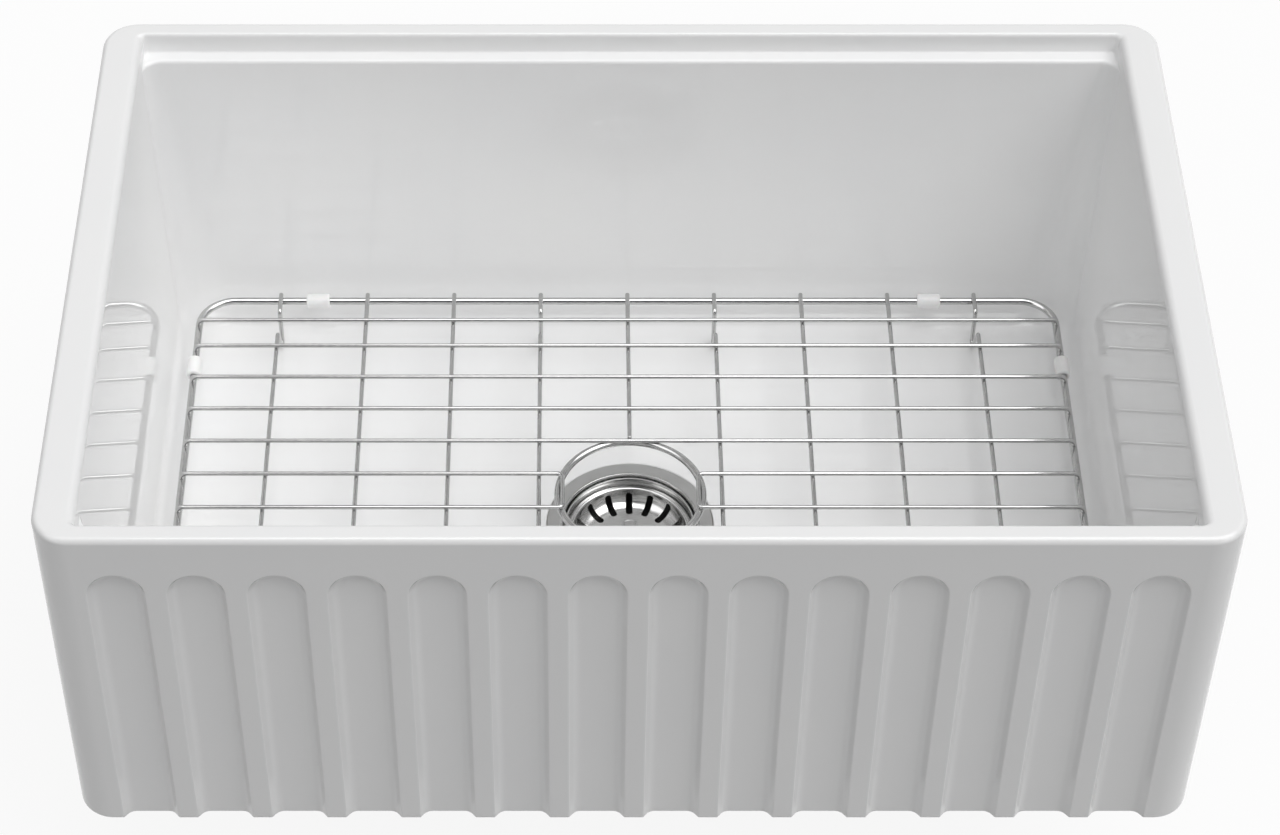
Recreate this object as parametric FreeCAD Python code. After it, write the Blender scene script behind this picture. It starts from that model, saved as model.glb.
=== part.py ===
import FreeCAD, Part
import math
import os

# A fluted apron-front kitchen sink in glazed fireclay, with its loose wire bottom grid,
# its basket strainer and the waste fittings under the floor.
#
# Frame: millimetres, +X to the right as seen from the front, +Y to the back, +Z up.
# X = Y = 0 is the axis of the drain, and z = 0 is the flat underside of the basin.

Vector = FreeCAD.Vector
UP = Vector(0, 0, 1)

# ------------------------------------------------------------------ basin: driving sizes
sink_width = 686.0
sink_depth = 458.0
sink_height = 256.0
outer_corner_radius = 22.0
rim_edge_radius = 4.0
rim_inner_radius = 2.5
base_edge_radius = 2.5
rim_strip = 13.0            # flat top of the front and back walls
side_rim = 24.5             # flat top of the side walls
ledge_drop = 14.5           # from the rim down to the accessory ledge
ledge_width = 9.5
ledge_end_radius = 3.0
floor_thickness = 20.0
side_draft = 9.5            # how far each side wall leans in, from rim to floor
end_draft = 3.5             # the same for the front and back walls
bowl_top_corner = 10.0
bowl_floor_corner = 34.0
bowl_floor_fillet = 26.0

# Apron: round-topped flutes that run out at the bottom edge
flute_count = 14
flute_end_margin = 28.4     # from the basin's side to the first flute
rib_flat = 12.0
flute_wall_run = 4.0        # how far a flute's wall slopes sideways
flute_depth = 5.7
flute_root_radius = 2.5
flute_top_below_rim = 29.5

# ------------------------------------------------------------------ strainer: driving sizes
tailpiece_radius = 19.05
tailpiece_wall = 1.2
tailpiece_length = 90.0
tailpiece_free_length = 50.0    # plain end below the rolled stop bead
tailpiece_bead_radius = 1.0
tailpiece_flange_thickness = 1.5
tailpiece_flange_gap = 1.2  # inside the coupling nut's thread
neck_step = 0.55            # the neck's bore is this much wider than the tailpiece
neck_wall = 4.2
neck_depth = 70.0
barrel_bore = 39.4
barrel_wall = 2.6           # with its rolled thread
seat_width = 2.0
seat_depth = 8.0            # basket seat below the flange
seat_wall_lean = 0.7        # how far the seat's wall leans out at its top
seat_wall_top_depth = 4.4   # top of the seat's wall below the flange
throat_wall_lean = 0.9
throat_wall_low_depth = 3.6
throat_step = 2.8           # from the seat's wall out to the mouth of the throat
bead_half_width = 0.8
bead_height = 0.7
flange_width = 9.5          # from the bead to the edge
flange_thickness = 1.5
flange_edge_chamfer = 0.4
flange_proud = 0.3          # how far the flange stands above the floor of the bowl
flange_seal_thickness = 1.0
flange_pocket_clearance = 0.5
flange_seal_setback = 0.5   # inside the flange's edge
drain_hole_clearance = 2.5
cup_depth = 50.0            # flat bottom of the strainer cup below the flange
cup_corner = 6.0
cup_wall = 2.2
neck_mouth_chamfer = 1.4

under_pocket_margin = 15.0  # round the lock nut's lugs
under_pocket_depth = 6.0
gasket_width = 16.0
gasket_thickness = 3.0
friction_ring_width = 15.0
friction_ring_thickness = 1.0
lock_nut_width = 13.0
lock_nut_height = 12.0
lock_nut_lug_count = 6
lock_nut_lug_width = 11.0
lock_nut_lug_reach = 5.0
thread_clearance = 0.15
washer_thickness = 1.8
coupling_wall = 4.2
coupling_height = 20.0
coupling_lip = 3.0
coupling_rib_count = 12
coupling_rib_width = 4.0
coupling_rib_reach = 1.6

# ------------------------------------------------------------------ basket and stopper
basket_rim_clearance = 0.7
basket_rim_thickness = 1.2
basket_wall_clearance = 0.8
basket_floor_depth = 18.0   # top of the basket's floor below the flange
basket_side_curve = 10.0    # how far the side curves in before the flat floor
basket_sheet = 0.9
seat_gap = 0.3              # between pieces that lift apart and what they rest on
slot_count = 16
slot_width = 4.4
slot_floor_reach = 3.6      # how far the slots run into the flat floor
slot_top_drop = 2.5         # from the rim's underside down to the top of the slots
basket_side_straight = 0.8  # upright strip of the side under the rim
basket_side_bow_in = 0.27   # middle of the side's curve, as shares of its run and its height
basket_side_bow_up = 0.30
bush_flange_radius = 8.5
bush_flange_thickness = 1.4
bush_wall = 1.85
bush_reach = 5.0            # below the basket's floor
bush_clearance = 0.05
rod_radius = 3.0
rod_clearance = 0.3
rod_end = 1.0               # how far the rod stands out of its nut
knob_radius = 5.3
knob_top_depth = 1.0        # top of the knob below the flange, stopper down
knob_gap = 0.6
knob_top_edge = 1.2
knob_low_chamfer = 0.6
disc_lap = 7.9              # how far the stopper's disc covers the cup's bottom
disc_thickness = 3.5
disc_edge_height = 2.0
disc_edge_chamfer = 1.0
disc_slope_width = 6.0      # sloping band round the hub
disc_hub_radius = 9.0
disc_hub_height = 5.0
disc_hub_taper = 1.5
rod_washer_radius = 7.0
rod_washer_thickness = 1.0
rod_nut_across_flats = 10.0
rod_nut_height = 5.0

# ------------------------------------------------------------------ bottom grid
frame_wire = 2.5            # wire radii
cross_wire = 1.5
weld_bite = 0.1             # how far a spot weld sinks one wire into the next
grid_side_gap = 12.5        # frame to bowl wall, at the frame's height
grid_end_gap = 14.9
grid_corner_radius = 24.0
foot_height = 28.0          # floor of the bowl to the underside of the front-to-back wires
long_count = 9
long_edge_gap = 55.0        # frame's side to the first front-to-back wire
long_overhang = 3.0         # past the frame's centre line
cross_count = 5             # full side-to-side wires on each side of the drain
cross_edge_gap = 26.0       # frame's end to the first side-to-side wire
cross_first_space = 25.0    # between the first two
ring_clearance = 4.3        # round the basket's rim
cross_ring_lap = 2.5        # innermost full wires, inside the ring's centre line
foot_numbers = (0, 3, 5, 8)  # the front-to-back wires that carry feet
foot_setback = 18.0         # outer leg, from the wire's tip
foot_span = 22.0            # outer leg to where the inner leg meets the wire
foot_bend = 2.6
hook_bend = 3.0
turn_inset = 3.0            # a turned-back wire's turn, inside the ring's centre line
bumper_wall = 2.4
bumper_length = 16.0
bumper_spread = 211.5       # sleeves on the frame's back and front, from the middle
back_bumper_drift = -2.8    # the two at the back sit this far to one side
bumper_clearance = 0.1
bumper_edge = 0.8

# ------------------------------------------------------------------ derived places
half_width = sink_width / 2
half_depth = sink_depth / 2
floor_z = floor_thickness
ledge_z = sink_height - ledge_drop
mouth_x = half_width - side_rim
mouth_y = half_depth - rim_strip - ledge_width
flute_width = (
    sink_width - 2 * flute_end_margin - (flute_count - 1) * rib_flat
) / flute_count
flute_pitch = flute_width + rib_flat

flange_z = floor_z + flange_proud
flange_under_z = flange_z - flange_thickness
pocket_z = flange_under_z - flange_seal_thickness
seat_radius = barrel_bore + seat_width
throat_radius = seat_radius + throat_step
bead_radius = throat_radius + bead_half_width
flange_radius = bead_radius + flange_width
barrel_radius = barrel_bore + barrel_wall
drain_hole_radius = barrel_radius + drain_hole_clearance
lock_nut_radius = barrel_radius + lock_nut_width
under_pocket_radius = lock_nut_radius + lock_nut_lug_reach + under_pocket_margin
neck_bore = tailpiece_radius + neck_step
neck_radius = neck_bore + neck_wall
neck_end_z = flange_z - neck_depth
tailpiece_flange_radius = neck_radius - tailpiece_flange_gap
coupling_radius = neck_radius + coupling_wall

basket_rim_radius = seat_radius - basket_rim_clearance
basket_rim_z = flange_z - seat_depth + seat_gap
basket_wall_radius = barrel_bore - basket_wall_clearance
basket_floor_radius = basket_wall_radius - basket_side_curve
basket_floor_z = flange_z - basket_floor_depth
bush_bore = rod_radius + rod_clearance
bush_radius = bush_bore + bush_wall
disc_radius = neck_bore + disc_lap

long_z = floor_z + foot_height + cross_wire
frame_z = long_z - cross_wire - frame_wire + weld_bite
cross_z = long_z + 2 * cross_wire - weld_bite
ring_z = cross_z - cross_wire - frame_wire + weld_bite
ring_radius = basket_rim_radius + ring_clearance + frame_wire


# ------------------------------------------------------------------ shape helpers
def rounded_rectangle(half_x, half_y, radius, z):
    """Closed outline of four sides and four tangent corner arcs."""
    edges = []
    previous_end = None
    first_start = None
    for turn, (side_x, side_y) in enumerate(((1, 1), (-1, 1), (-1, -1), (1, -1))):
        centre = Vector(side_x * (half_x - radius), side_y * (half_y - radius), z)
        angles = [math.radians(90 * turn + step) for step in (0, 45, 90)]
        start, middle, end = [
            centre + Vector(radius * math.cos(a), radius * math.sin(a), 0) for a in angles
        ]
        if previous_end is None:
            first_start = start
        else:
            edges.append(Part.LineSegment(previous_end, start).toShape())
        edges.append(Part.Arc(start, middle, end).toShape())
        previous_end = end
    edges.append(Part.LineSegment(previous_end, first_start).toShape())
    return Part.Wire(edges)


def prism(outline, height):
    return Part.Face(outline).extrude(Vector(0, 0, height))


def disc(radius, height, z, bore=0.0):
    """Round plate or ring standing on height z."""
    plate = Part.makeCylinder(radius, height, Vector(0, 0, z))
    if bore > 0:
        plate = plate.cut(Part.makeCylinder(bore, height, Vector(0, 0, z)))
    return plate


def turned(points):
    """Solid of revolution about the drain axis; an arc is given as ('arc', middle, end)."""
    edges = []
    current = points[0]
    for item in points[1:] + [points[0]]:
        start = Vector(current[0], 0, current[1])
        if item[0] == "arc":
            middle = Vector(item[1][0], 0, item[1][1])
            end = Vector(item[2][0], 0, item[2][1])
            edges.append(Part.Arc(start, middle, end).toShape())
            current = item[2]
        else:
            end = Vector(item[0], 0, item[1])
            edges.append(Part.LineSegment(start, end).toShape())
            current = item
    profile = Part.Face(Part.Wire(edges))
    return profile.revolve(Vector(0, 0, 0), UP, 360)


def bent_path(points, bend):
    """Straight runs through the points, joined at each inner point by a tangent arc."""
    edges = []
    current = points[0]
    for index in range(1, len(points) - 1):
        corner = points[index]
        back = (points[index - 1] - corner).normalize()
        ahead = (points[index + 1] - corner).normalize()
        half_angle = back.getAngle(ahead) / 2
        reach = bend / math.tan(half_angle)
        start = corner + back * reach
        end = corner + ahead * reach
        middle_line = (back + ahead).normalize()
        middle = corner + middle_line * (bend / math.sin(half_angle) - bend)
        if (start - current).Length > 1e-6:
            edges.append(Part.LineSegment(current, start).toShape())
        edges.append(Part.Arc(start, middle, end).toShape())
        current = end
    edges.append(Part.LineSegment(current, points[-1]).toShape())
    return Part.Wire(edges)


def wire_along(path, radius):
    """Round wire swept along a path, square at its ends."""
    first = path.Edges[0]
    start = first.valueAt(first.FirstParameter)
    direction = first.tangentAt(first.FirstParameter)
    section = Part.Wire([Part.makeCircle(radius, start, direction)])
    return path.makePipeShell([section], True, False)


def edges_at(shape, test):
    """The edges of a shape whose ends and middle all pass a test."""
    chosen = []
    for edge in shape.Edges:
        span = edge.LastParameter - edge.FirstParameter
        points = [edge.valueAt(edge.FirstParameter + span * part) for part in (0, 0.5, 1)]
        if all(test(point) for point in points):
            chosen.append(edge)
    return chosen


# ------------------------------------------------------------------ the basin
def wall_inset(z, draft):
    """How far a leaning wall has moved in at height z."""
    return draft * (sink_height - z) / (sink_height - floor_z)


def flute_outline(x, y, radius):
    """Round-topped flute outline in an upright plane, open past the bottom edge."""
    centre_z = sink_height - flute_top_below_rim - flute_width / 2
    bottom_z = -flute_width
    left_low, left_high = Vector(x - radius, y, bottom_z), Vector(x - radius, y, centre_z)
    right_low, right_high = Vector(x + radius, y, bottom_z), Vector(x + radius, y, centre_z)
    crown = Vector(x, y, centre_z + radius)
    return Part.Wire([
        Part.LineSegment(left_low, left_high).toShape(),
        Part.Arc(left_high, crown, right_high).toShape(),
        Part.LineSegment(right_high, right_low).toShape(),
        Part.LineSegment(right_low, left_low).toShape(),
    ])


def flute_cutter(x):
    """Space of one flute, with sloping walls and a rounded foot to them."""
    front = -half_depth
    open_radius = flute_width / 2
    outside = 1.0
    slope = flute_wall_run / flute_depth
    cutter = Part.makeLoft([
        flute_outline(x, front - outside, open_radius + outside * slope),
        flute_outline(x, front + flute_depth, open_radius - flute_wall_run),
    ], True, True)
    root = [
        edge for edge in edges_at(cutter, lambda p: abs(p.y - front - flute_depth) < 1e-4)
        if edge.BoundBox.ZMax > 0
    ]
    return cutter.makeFillet(flute_root_radius, root)


def make_basin():
    block = prism(rounded_rectangle(half_width, half_depth, outer_corner_radius, 0), sink_height)
    block = block.makeFillet(
        rim_edge_radius, edges_at(block, lambda p: abs(p.z - sink_height) < 1e-4)
    )
    block = block.makeFillet(base_edge_radius, edges_at(block, lambda p: abs(p.z) < 1e-4))

    bowl = Part.makeLoft([
        rounded_rectangle(mouth_x, mouth_y, bowl_top_corner, sink_height),
        rounded_rectangle(
            mouth_x - side_draft, mouth_y - end_draft, bowl_floor_corner, floor_z
        ),
    ], True, True)
    bowl = bowl.makeFillet(
        bowl_floor_fillet, edges_at(bowl, lambda p: abs(p.z - floor_z) < 1e-4)
    )

    ledge_y = half_depth - rim_strip
    ledge_space = Part.makeLoft([
        rounded_rectangle(mouth_x, ledge_y, ledge_end_radius, sink_height),
        rounded_rectangle(
            mouth_x - wall_inset(ledge_z, side_draft), ledge_y, ledge_end_radius, ledge_z
        ),
    ], True, True)
    hollow = bowl.fuse(ledge_space).removeSplitter()
    basin = block.cut(hollow)
    basin = basin.makeFillet(rim_inner_radius, edges_at(
        basin,
        lambda p: abs(p.z - sink_height) < 1e-4
        and abs(p.x) < mouth_x + 0.01 and abs(p.y) < ledge_y + 0.01,
    ))

    first_flute = -(flute_count - 1) / 2 * flute_pitch
    flutes = [flute_cutter(first_flute + flute_pitch * number) for number in range(flute_count)]
    drain = disc(drain_hole_radius, sink_height, -1)
    top_pocket = disc(flange_radius + flange_pocket_clearance, floor_thickness, pocket_z)
    under_pocket = disc(under_pocket_radius, under_pocket_depth + 1, -1)
    return basin.cut(flutes + [drain, top_pocket, under_pocket])


# ------------------------------------------------------------------ strainer and waste
def make_strainer_body():
    """Flanged cup: bead, two stepped bands, basket seat, flat stopper seat, threaded neck."""
    top = flange_z
    barrel_low = top - cup_depth + cup_corner
    inner_low = cup_corner * (1 - math.sqrt(0.5))
    outer_corner = cup_corner + barrel_radius - barrel_bore
    outer_low = outer_corner * (1 - math.sqrt(0.5))
    cup_under = top - cup_depth - cup_wall
    return turned([
        (flange_radius, flange_under_z),
        (flange_radius, top - flange_edge_chamfer),
        (flange_radius - flange_edge_chamfer, top),
        (bead_radius + bead_half_width, top),
        ("arc", (bead_radius, top + bead_height), (throat_radius, top)),
        (throat_radius - throat_wall_lean, top - throat_wall_low_depth),
        (seat_radius + seat_wall_lean, top - seat_wall_top_depth),
        (seat_radius, top - seat_depth),
        (barrel_bore, top - seat_depth),
        (barrel_bore, barrel_low),
        ("arc", (barrel_bore - inner_low, top - cup_depth + inner_low),
         (barrel_bore - cup_corner, top - cup_depth)),
        (neck_bore + neck_mouth_chamfer, top - cup_depth),
        (neck_bore, top - cup_depth - neck_mouth_chamfer),
        (neck_bore, neck_end_z),
        (neck_radius, neck_end_z),
        (neck_radius, cup_under),
        (barrel_radius - outer_corner, cup_under),
        ("arc", (barrel_radius - outer_low, cup_under + outer_low),
         (barrel_radius, cup_under + outer_corner)),
        (barrel_radius, flange_under_z),
    ])


def make_lock_nut(top_z):
    """Ring nut with driving lugs round its rim."""
    low_z = top_z - lock_nut_height
    nut = disc(lock_nut_radius, lock_nut_height, low_z)
    lugs = []
    for number in range(lock_nut_lug_count):
        lug = Part.makeBox(
            lock_nut_radius + lock_nut_lug_reach, lock_nut_lug_width, lock_nut_height,
            Vector(0, -lock_nut_lug_width / 2, low_z),
        )
        lug.rotate(Vector(0, 0, 0), UP, 360 / lock_nut_lug_count * number)
        lugs.append(lug)
    nut = nut.fuse(lugs).removeSplitter()
    return nut.cut(disc(barrel_radius + thread_clearance, lock_nut_height + 2, low_z - 1))


def make_coupling_nut(flange_low_z):
    """Slip nut: threaded over the neck, with a lip under the tailpiece's flange."""
    low_z = flange_low_z - coupling_lip
    nut = disc(coupling_radius, coupling_height, low_z)
    ribs = []
    for number in range(coupling_rib_count):
        rib = Part.makeBox(
            coupling_radius + coupling_rib_reach, coupling_rib_width, coupling_height,
            Vector(0, -coupling_rib_width / 2, low_z),
        )
        rib.rotate(Vector(0, 0, 0), UP, 360 / coupling_rib_count * number)
        ribs.append(rib)
    nut = nut.fuse(ribs).removeSplitter()
    bore = disc(neck_radius + thread_clearance, coupling_height, flange_low_z)
    lip_bore = disc(tailpiece_radius + thread_clearance, coupling_lip + 2, low_z - 1)
    return nut.cut([bore, lip_bore])


def make_tailpiece(flange_top_z):
    """Flanged tube with a bead rolled round it above its plain end."""
    low_z = flange_top_z - tailpiece_length
    bore = tailpiece_radius - tailpiece_wall
    tube = disc(tailpiece_radius, tailpiece_length, low_z, bore)
    bead_z = low_z + tailpiece_free_length + tailpiece_bead_radius
    bead = Part.makeTorus(tailpiece_radius, tailpiece_bead_radius, Vector(0, 0, bead_z))
    flange = disc(
        tailpiece_flange_radius, tailpiece_flange_thickness,
        flange_top_z - tailpiece_flange_thickness, bore,
    )
    return tube.fuse([flange, bead]).removeSplitter()


def waste_fittings():
    """Everything that clamps the strainer to the floor and carries the waste on down."""
    under_z = under_pocket_depth
    bore = barrel_radius + thread_clearance
    gasket_low = under_z - gasket_thickness
    ring_low = gasket_low - friction_ring_thickness
    washer_low = neck_end_z - washer_thickness
    return {
        "strainer_body": make_strainer_body(),
        "flange_seal": disc(
            flange_radius - flange_seal_setback, flange_seal_thickness, pocket_z,
            bore + flange_seal_setback,
        ),
        "drain_gasket": disc(
            barrel_radius + gasket_width, gasket_thickness, gasket_low, bore
        ),
        "friction_ring": disc(
            barrel_radius + friction_ring_width, friction_ring_thickness, ring_low, bore
        ),
        "lock_nut": make_lock_nut(ring_low),
        "tailpiece_washer": disc(
            tailpiece_flange_radius, washer_thickness, washer_low, neck_bore
        ),
        "tailpiece": make_tailpiece(washer_low),
        "coupling_nut": make_coupling_nut(washer_low - tailpiece_flange_thickness),
    }


# ------------------------------------------------------------------ basket and stopper
def make_basket_cup():
    """Pressed cup with a rolled rim and radial slots that run down its side into its floor."""
    rim_low = basket_rim_z
    rim_top = rim_low + basket_rim_thickness
    floor_top = basket_floor_z
    floor_low = floor_top - basket_sheet
    side_outer = basket_wall_radius
    side_inner = side_outer - basket_sheet
    floor_radius = basket_floor_radius
    curve_top = rim_low - basket_side_straight
    bend_in = basket_side_bow_in * (side_outer - floor_radius)
    bend_up = basket_side_bow_up * (rim_low - floor_low)
    cup = turned([
        (basket_rim_radius, rim_low),
        (basket_rim_radius, rim_top),
        (side_inner, rim_top),
        (side_inner, curve_top),
        ("arc", (side_inner - bend_in, floor_top + bend_up), (floor_radius, floor_top)),
        (bush_radius, floor_top),
        (bush_radius, floor_low),
        (floor_radius, floor_low),
        ("arc", (side_outer - bend_in, floor_low + bend_up), (side_outer, curve_top)),
        (side_outer, rim_low),
    ])
    slot_low = floor_low - 1
    slot_height = rim_low - slot_top_drop - slot_low
    slot_end = floor_radius - slot_floor_reach + slot_width / 2
    slots = []
    for number in range(slot_count):
        run = Part.makeBox(
            basket_rim_radius, slot_width, slot_height,
            Vector(slot_end, -slot_width / 2, slot_low),
        )
        end = Part.makeCylinder(slot_width / 2, slot_height, Vector(slot_end, 0, slot_low))
        slot = run.fuse(end).removeSplitter()
        slot.rotate(Vector(0, 0, 0), UP, 90 + 360 / slot_count * number)
        slots.append(slot)
    return cup.cut(slots)


def make_basket_bush():
    """Flanged bush in the middle of the basket's floor, where the rod slides."""
    collar = disc(bush_flange_radius, bush_flange_thickness, basket_floor_z, bush_bore)
    barrel_height = basket_sheet + bush_reach
    barrel = disc(
        bush_radius - bush_clearance, barrel_height, basket_floor_z - barrel_height, bush_bore
    )
    return collar.fuse(barrel).removeSplitter()


def stopper_pieces():
    """Knob, rod, rubber disc, washer and nut, with the disc down on the seat."""
    seat_z = flange_z - cup_depth
    disc_low = seat_z + seat_gap
    disc_top = disc_low + disc_thickness
    hub_top = disc_top + disc_hub_height
    bush_top = basket_floor_z + bush_flange_thickness
    knob_low = bush_top + knob_gap
    knob_top = flange_z - knob_top_depth
    nut_low = disc_low - rod_washer_thickness - rod_nut_height
    rod_low = nut_low - rod_end
    edge_middle = knob_top_edge * (1 - math.sqrt(0.5))
    knob = turned([
        (0, knob_low),
        (knob_radius - knob_low_chamfer, knob_low),
        (knob_radius, knob_low + knob_low_chamfer),
        (knob_radius, knob_top - knob_top_edge),
        ("arc", (knob_radius - edge_middle, knob_top - edge_middle),
         (knob_radius - knob_top_edge, knob_top)),
        (0, knob_top),
    ])
    rubber = turned([
        (rod_radius, disc_low),
        (disc_radius - disc_edge_chamfer, disc_low),
        (disc_radius, disc_low + disc_edge_chamfer),
        (disc_radius, disc_low + disc_edge_height),
        (disc_hub_radius + disc_slope_width, disc_top),
        (disc_hub_radius, disc_top),
        (disc_hub_radius - disc_hub_taper, hub_top),
        (rod_radius, hub_top),
    ])
    nut_corner = rod_nut_across_flats / math.sqrt(3)
    corners = [
        Vector(nut_corner * math.cos(math.radians(60 * k)),
               nut_corner * math.sin(math.radians(60 * k)), nut_low)
        for k in range(6)
    ]
    nut = prism(Part.makePolygon(corners + [corners[0]]), rod_nut_height)
    nut = nut.cut(disc(rod_radius, rod_nut_height + 2, nut_low - 1))
    return {
        "stopper_knob": knob,
        "stopper_rod": disc(rod_radius, knob_low - rod_low, rod_low),
        "stopper_disc": rubber,
        "stopper_washer": disc(
            rod_washer_radius, rod_washer_thickness, disc_low - rod_washer_thickness, rod_radius
        ),
        "stopper_nut": nut,
    }


# ------------------------------------------------------------------ bottom grid
grid_half_x = mouth_x - wall_inset(frame_z, side_draft) - frame_wire - grid_side_gap
grid_half_y = mouth_y - wall_inset(frame_z, end_draft) - frame_wire - grid_end_gap
long_pitch = 2 * (grid_half_x - long_edge_gap) / (long_count - 1)
long_tip = grid_half_y + long_overhang
hook_end_z = frame_z + frame_wire - weld_bite


def cross_rows():
    """Distances from the middle to the full side-to-side wires, the outermost first."""
    outermost = grid_half_y - cross_edge_gap
    innermost = ring_radius - cross_ring_lap
    spaces = cross_count - 2
    pitch = (outermost - cross_first_space - innermost) / spaces
    return [outermost] + [innermost + pitch * step for step in range(spaces, -1, -1)]


def frame_joint():
    """Where the frame's ends are butt-welded to its sides, between the first two cross wires."""
    outermost, second = cross_rows()[:2]
    return (outermost + second) / 2


def frame_end(side):
    """Back or front of the frame: one wire with both its corners and a short leg at each side."""
    leg_y, end_y = side * frame_joint(), side * grid_half_y
    path = bent_path([
        Vector(grid_half_x, leg_y, frame_z), Vector(grid_half_x, end_y, frame_z),
        Vector(-grid_half_x, end_y, frame_z), Vector(-grid_half_x, leg_y, frame_z),
    ], grid_corner_radius)
    return wire_along(path, frame_wire)


def frame_side(side):
    """Straight wire along one side of the frame."""
    start = Vector(side * grid_half_x, -frame_joint(), frame_z)
    return Part.makeCylinder(frame_wire, 2 * frame_joint(), start, Vector(0, 1, 0))


def cross_wire_at(y):
    """Side-to-side wire whose ends bend down on to the frame's sides."""
    path = bent_path([
        Vector(-grid_half_x, y, hook_end_z), Vector(-grid_half_x, y, cross_z),
        Vector(grid_half_x, y, cross_z), Vector(grid_half_x, y, hook_end_z),
    ], hook_bend)
    return wire_along(path, cross_wire)


def turned_back_wire(side):
    """Two side-to-side runs in one wire that turns back on top of the drain ring."""
    near, far = side * (ring_radius - turn_inset), side * grid_half_x
    y = cross_rows()[-1] / 3
    path = bent_path([
        Vector(far, -y, hook_end_z), Vector(far, -y, cross_z), Vector(near, -y, cross_z),
        Vector(near, y, cross_z), Vector(far, y, cross_z), Vector(far, y, hook_end_z),
    ], hook_bend)
    return wire_along(path, cross_wire)


def foot_points(x, side):
    """One foot, from the wire's tip inwards: straight outer leg, slanted inner leg."""
    low_z = floor_z + seat_gap + cross_wire
    outer = long_tip - foot_setback
    return [
        Vector(x, side * long_tip, long_z),
        Vector(x, side * outer, long_z),
        Vector(x, side * outer, low_z),
        Vector(x, side * (outer - 2 * foot_bend), low_z),
        Vector(x, side * (outer - foot_span), long_z),
    ]


def long_wire(number):
    """Front-to-back wire; some dip to the floor near each end to make feet."""
    x = (number - (long_count - 1) / 2) * long_pitch
    if number in foot_numbers:
        points = foot_points(x, -1) + foot_points(x, 1)[::-1]
        return wire_along(bent_path(points, foot_bend), cross_wire)
    start = Vector(x, -long_tip, long_z)
    return Part.makeCylinder(cross_wire, 2 * long_tip, start, Vector(0, 1, 0))


def half_long_wire(side):
    """Half of the middle wire, from the frame to the drain ring."""
    ring_outside = ring_radius + frame_wire - weld_bite
    start = Vector(0, side * ring_outside, long_z)
    return Part.makeCylinder(cross_wire, long_tip - ring_outside, start, Vector(0, side, 0))


def bumper(x, y, along):
    """Soft sleeve on the frame's wire."""
    start = Vector(x, y, frame_z) - along * (bumper_length / 2)
    bore_radius = frame_wire + bumper_clearance
    sleeve = Part.makeCylinder(bore_radius + bumper_wall, bumper_length, start, along)
    rims = [edge for edge in sleeve.Edges if edge.isClosed()]
    sleeve = sleeve.makeFillet(bumper_edge, rims)
    return sleeve.cut(Part.makeCylinder(bore_radius, bumper_length, start, along))


def grid_pieces():
    pieces = {
        "grid_frame_back": frame_end(1),
        "grid_frame_front": frame_end(-1),
        "grid_frame_left": frame_side(-1),
        "grid_frame_right": frame_side(1),
        "grid_drain_ring": Part.makeTorus(ring_radius, frame_wire, Vector(0, 0, ring_z)),
        "grid_turned_wire_left": turned_back_wire(-1),
        "grid_turned_wire_right": turned_back_wire(1),
        "grid_long_wire_5_back": half_long_wire(1),
        "grid_long_wire_5_front": half_long_wire(-1),
    }
    for number in range(long_count):
        if number != (long_count - 1) // 2:
            pieces["grid_long_wire_%d" % (number + 1)] = long_wire(number)
    rows = cross_rows()
    for side, name in ((1, "back"), (-1, "front")):
        for order, y in enumerate(rows):
            pieces["grid_cross_wire_%s_%d" % (name, order + 1)] = cross_wire_at(side * y)
    bumper_y = (rows[1] + rows[2]) / 2
    for side_y, depth_name, drift in ((1, "back", back_bumper_drift), (-1, "front", 0.0)):
        for side_x, side_name in ((-1, "left"), (1, "right")):
            pieces["bumper_%s_%s" % (depth_name, side_name)] = bumper(
                side_x * bumper_spread + drift, side_y * grid_half_y, Vector(1, 0, 0)
            )
            pieces["bumper_side_%s_%s" % (depth_name, side_name)] = bumper(
                side_x * grid_half_x, side_y * bumper_y, Vector(0, 1, 0)
            )
    return pieces


# ------------------------------------------------------------------ build and export
nodes = {"sink_basin": make_basin()}
nodes.update(waste_fittings())
nodes["basket_cup"] = make_basket_cup()
nodes["basket_bush"] = make_basket_bush()
nodes.update(stopper_pieces())
nodes.update(grid_pieces())

os.makedirs("parts", exist_ok=True)
for name, shape in nodes.items():
    solids = len(shape.Solids)
    print("%-28s solids %d valid %s volume %.1f" % (name, solids, shape.isValid(), shape.Volume))
    shape.exportStep("parts/%s.step" % name)
print(len(nodes), "nodes")
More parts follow.
